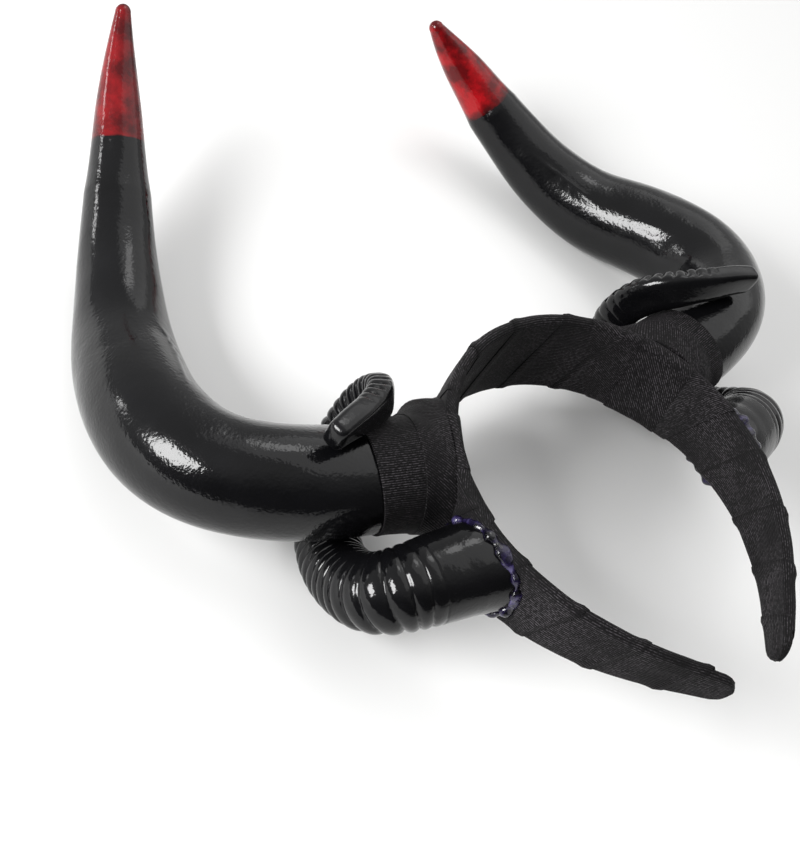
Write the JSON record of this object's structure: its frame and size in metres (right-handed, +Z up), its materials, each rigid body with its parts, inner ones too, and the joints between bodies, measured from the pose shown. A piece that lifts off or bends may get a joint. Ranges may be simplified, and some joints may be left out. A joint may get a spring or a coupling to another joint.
{
  "type": "horn headband",
  "caption": "Ribbon-wound hair band with a long red-tipped bull horn on each side and a small ribbed ram horn curled round the foot of each.",
  "frame": {"origin": "middle of the bounding box in plan, at the surface that the headband lies on", "axes": "+Z up from the surface; the headband lies on its back, with +Y from the leg ends over the crown to the horns' points and +X to the side of the shorter big horn"},
  "size_m": [0.29, 0.2972, 0.0734],
  "materials": {
    "ribbon": "black ribbed grosgrain ribbon with a faint warm tinge",
    "black_gloss": "high-gloss black paint over a slightly uneven hand-shaped form",
    "red_gloss": "deep red gloss, mottled and fading into the black",
    "glue": "glossy set hot glue with a purple tinge"
  },
  "bodies": {
    "root": {"band": "ribbon", "collar_left": "ribbon", "collar_right": "ribbon", "horn_left": "black_gloss", "horn_right": "black_gloss", "horn_tip_left": "red_gloss", "horn_tip_right": "red_gloss", "ram_horn_left": "black_gloss", "ram_horn_right": "black_gloss", "glue_left": "glue", "glue_right": "glue"}
  },
  "joints": []
}
